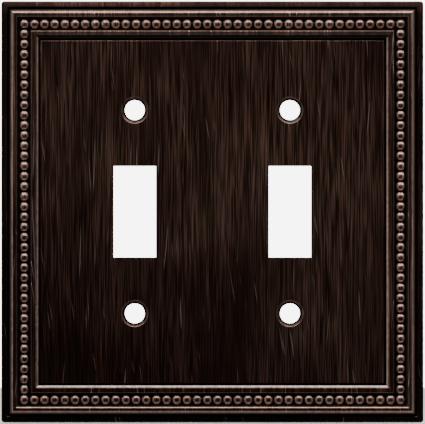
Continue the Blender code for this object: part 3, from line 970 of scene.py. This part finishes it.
bronze_face = brushed_bronze()
zinc_back = cast_back()
casting = plate_form()
casting.data.materials.append(bronze_face)
casting.data.materials.append(zinc_back)
join_shape(casting, hollow_core(), "DIFFERENCE", zinc_back)
join_shape(casting, ejector_marks(), "DIFFERENCE", zinc_back)
join_shape(casting, screw_bosses(), "UNION", zinc_back)
join_shape(casting, opening_collars(), "UNION", zinc_back)
rib_end = torus_start + TORUS_WALL / 2
half_rib = RIB_THICKNESS / 2
upright = rib("upright_rib", -half_rib, half_rib, rib_end - HALF_HEIGHT, HALF_HEIGHT - rib_end)
join_shape(casting, upright, "UNION", zinc_back)
collar_reach = OPENING_WIDTH / 2 + COLLAR_WALL / 2
rib_stops = [rib_end - HALF_WIDTH]
for gang in gangs:
    rib_stops += [gang - collar_reach, gang + collar_reach]
rib_stops.append(HALF_WIDTH - rib_end)
for start, end in zip(rib_stops[0::2], rib_stops[1::2]):
    join_shape(casting, rib("cross_rib", start, end, -half_rib, half_rib), "UNION", zinc_back)
join_shape(casting, opening_cut(), "DIFFERENCE", bronze_face)
join_shape(casting, screw_hole_cut(), "DIFFERENCE", bronze_face)
join_shape(casting, bead_row(), "UNION", bronze_face)

ON_THE_WALL = Matrix.Rotation(TAU / 4, 4, "X")
SHARP_ANGLE = math.radians(32)
FLAT_ENOUGH = 0.99999
WEAR_RADIUS = 0.12 * MM
WIDEST_WORN_FACE = 0.35 * MM
casting.data.transform(ON_THE_WALL)
casting.data.shade_smooth()
casting.data.set_sharp_from_angle(angle=SHARP_ANGLE)
for polygon in casting.data.polygons:
    if max(abs(part) for part in polygon.normal) > FLAT_ENOUGH:
        polygon.use_smooth = False


def mark_wear(mesh, radius, widest):
    """Store how rounded the corners of narrow faces are, and how far each face looks forwards."""
    bm = bmesh.new()
    bm.from_mesh(mesh)
    layer = bm.loops.layers.float.new("wear")
    front = bm.loops.layers.float.new("front")
    for vert in bm.verts:
        rubbed = 0.0
        for edge in vert.link_edges:
            if len(edge.link_faces) == 2 and edge.calc_length() > 0:
                narrow = min(face.calc_area() for face in edge.link_faces) / edge.calc_length()
                bend = edge.calc_face_angle_signed(0.0)
                rubbed = max(rubbed, bend * radius / max(narrow, radius / 4))
        for loop in vert.link_loops:
            width = loop.face.calc_area() / max(edge.calc_length() for edge in loop.face.edges)
            loop[layer] = min(rubbed, 1.0) if width < widest else 0.0
            loop[front] = max(-loop.face.normal.y, 0.0)
    bm.to_mesh(mesh)
    bm.free()


mark_wear(casting.data, WEAR_RADIUS, WIDEST_WORN_FACE)
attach(casting, "plate")
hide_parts("cover_plate")


# --- Mounting screws ------------------------------------------------------------------
# Four 6-32 by half an inch steel machine screws with slotted oval heads, the thread rolled
# and the whole screw plated dark bronze. They come loose and lie in the hollow back.

SCREW_COUNT = 4
SCREW_LENGTH = 12.7 * MM
SCREW_DIAMETER = 3.5 * MM
HEAD_DIAMETER = 6.6 * MM
HEAD_ANGLE = math.radians(82)
HEAD_LAND = 0.12 * MM
CROWN_HEIGHT = 1.1 * MM
CROWN_STEPS = 10
THREAD_PITCH = 0.794 * MM
THREAD_DEPTH = 0.45 * MM
THREAD_RINGS_PER_TURN = 14
THREAD_FLAT = 0.14
POINT_CHAMFER = 0.6 * MM
SLOT_WIDTH = 1.0 * MM
SLOT_DEPTH = 1.2 * MM
SLOT_FLOOR_ROUND = 0.15 * MM
SCREW_SIDES = 48
SCREW_WEAR_RADIUS = 0.06 * MM
SCREW_WIDEST_WORN_FACE = 1.0 * MM


def screw_outline():
    """Half outline from the point up to the crown, with a ring for each step of the thread."""
    head = HEAD_DIAMETER / 2
    shank = SCREW_DIAMETER / 2
    neck = -(head - shank) / math.tan(HEAD_ANGLE / 2)
    start = -SCREW_LENGTH + POINT_CHAMFER
    rings = round((neck - start) / THREAD_PITCH * THREAD_RINGS_PER_TURN)
    points = [(0, -SCREW_LENGTH), (shank - POINT_CHAMFER, -SCREW_LENGTH)]
    points += [(shank, start + (neck - start) * ring / rings) for ring in range(rings + 1)]
    points += [(head, -HEAD_LAND), (head, 0)]
    for step in range(1, CROWN_STEPS + 1):
        turn = TAU / 4 * step / CROWN_STEPS
        points.append((head * math.cos(turn), CROWN_HEIGHT * math.sin(turn)))
    return points


def cut_thread(bm):
    """Draw the shank in along a helix, fading out towards the head and the point."""
    shank = SCREW_DIAMETER / 2
    neck = -(HEAD_DIAMETER / 2 - shank) / math.tan(HEAD_ANGLE / 2)
    for vert in bm.verts:
        if vert.co.z > neck - MERGE_DISTANCE or vert.co.xy.length < shank * 0.9:
            continue
        turns = vert.co.z / THREAD_PITCH - math.atan2(vert.co.y, vert.co.x) / TAU
        groove = 1 - abs(2 * (turns % 1) - 1)
        groove = min(max((groove - THREAD_FLAT) / (1 - 2 * THREAD_FLAT), 0), 1)
        fade_head = min((neck - vert.co.z) / THREAD_PITCH, 1)
        fade_point = min((vert.co.z + SCREW_LENGTH) / (2 * THREAD_PITCH), 1)
        draw = 1 - THREAD_DEPTH * groove * fade_head * fade_point / shank
        vert.co.x *= draw
        vert.co.y *= draw


def slot_cutter():
    """The driver slot, with its mouth left sharp and its floor a little rounded."""
    reach = HEAD_DIAMETER
    bm = bmesh.new()
    floor_height = CROWN_HEIGHT - SLOT_DEPTH
    add_box(bm, (-SLOT_WIDTH / 2, -reach, floor_height), (SLOT_WIDTH / 2, reach, CROWN_HEIGHT + EMBED))
    low = floor_height + TOOL_OVERLAP
    corners = [edge for edge in bm.edges if max(vert.co.z for vert in edge.verts) < low]
    corners = [edge for edge in corners if abs(edge.verts[0].co.y - edge.verts[1].co.y) > reach]
    bmesh.ops.bevel(
        bm, geom=corners, offset=SLOT_FLOOR_ROUND, segments=2, profile=0.5, affect="EDGES", material=-1
    )
    return loose_object("slot_cutter", bm)


SCREW_DARK = (0.05, 0.026, 0.018)
SCREW_BROWN = (0.13, 0.075, 0.055)
SCREW_TURNED = (0.2, 0.13, 0.1)
BRIGHT_STEEL = (0.55, 0.46, 0.42)


def plated_screw_steel():
    """Dark bronze plate on rolled steel: fine marks all over, bright metal on the sharp edges."""
    material, tree, shader = metal("plated_screw_steel", 0.3)
    vector = millimetres(tree)
    clouds = place_group(tree, patina, Vector=vector, Fineness=4.0)
    marks = place_group(tree, brush_marks, Vector=vector, Fineness=3.0)
    edge = stored(tree, "wear")
    rubbed = place_group(tree, rubbing, Edge=edge, Mottle=clouds["Mottle"], Grain=clouds["Grain"])
    dark = blend_colour(tree, clouds["Cloud"], SCREW_DARK, SCREW_BROWN)
    dark = blend_colour(tree, calculate(tree, "MULTIPLY", marks["Streaks"], 0.35), dark, SCREW_TURNED)
    colour = blend_colour(tree, rubbed["Rubbed"], dark, BRIGHT_STEEL)
    tree.links.new(colour, shader.inputs["Base Color"])
    rough = calculate(tree, "MULTIPLY_ADD", clouds["Grain"], 0.2, 0.22)
    tree.links.new(rough, shader.inputs["Roughness"])
    height = calculate(tree, "MULTIPLY_ADD", clouds["Grain"], 0.4, marks["Height"])
    raise_surface(tree, shader, height, 0.02 * MM)
    return material


screw_steel = plated_screw_steel()
HEAD_TO_THE_LEFT = Matrix.Rotation(-TAU / 4, 4, "Y")
for number in range(1, SCREW_COUNT + 1):
    low, high = (Vector(corner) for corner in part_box(f"mounting_screw_{number}"))
    blank = turned(screw_outline(), SCREW_SIDES)
    cut_thread(blank)
    screw = loose_object(f"oval_head_screw_{number}", blank)
    screw.data.materials.append(screw_steel)
    join_shape(screw, slot_cutter(), "DIFFERENCE", screw_steel)
    middle = Vector((high.x - SCREW_LENGTH, (low.y + high.y) / 2, (low.z + high.z) / 2))
    screw.data.transform(Matrix.Translation(middle) @ HEAD_TO_THE_LEFT)
    screw.data.shade_smooth()
    screw.data.set_sharp_from_angle(angle=SHARP_ANGLE)
    mark_wear(screw.data, SCREW_WEAR_RADIUS, SCREW_WIDEST_WORN_FACE)
    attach(screw, f"screw_{number}")
    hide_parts(f"mounting_screw_{number}")
